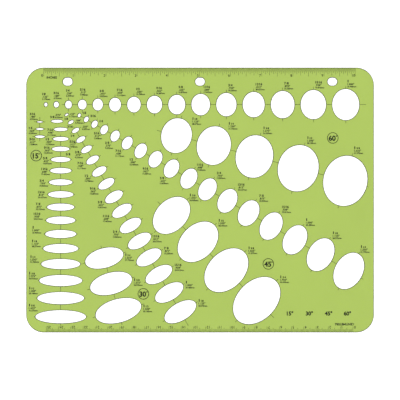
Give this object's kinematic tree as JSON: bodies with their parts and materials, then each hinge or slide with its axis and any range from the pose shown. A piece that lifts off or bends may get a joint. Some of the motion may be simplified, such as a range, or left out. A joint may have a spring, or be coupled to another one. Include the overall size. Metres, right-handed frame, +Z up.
{
  "type": "ellipse template",
  "caption": "Flat clear green drafting template with fanned rows of elliptical cut-outs for several viewing angles, printed inch and centimetre edge scales and binder slots.",
  "frame": {"origin": "centre of the sheet's underside", "axes": "+X along the sheet's width and its scales, +Y towards the inch scale and binder slots, +Z up out of the printed face"},
  "size_m": [0.2834, 0.216, 0.0009],
  "materials": {
    "green_plastic": "clear green tint, smooth",
    "printed_ink": "thin printed film"
  },
  "bodies": {
    "root": {"template_sheet": "green_plastic", "inch_scale": "printed_ink", "centimetre_scale": "printed_ink", "row_centre_lines": "printed_ink", "axis_end_marks": "printed_ink", "angle_badge_rings": "printed_ink"}
  },
  "joints": []
}
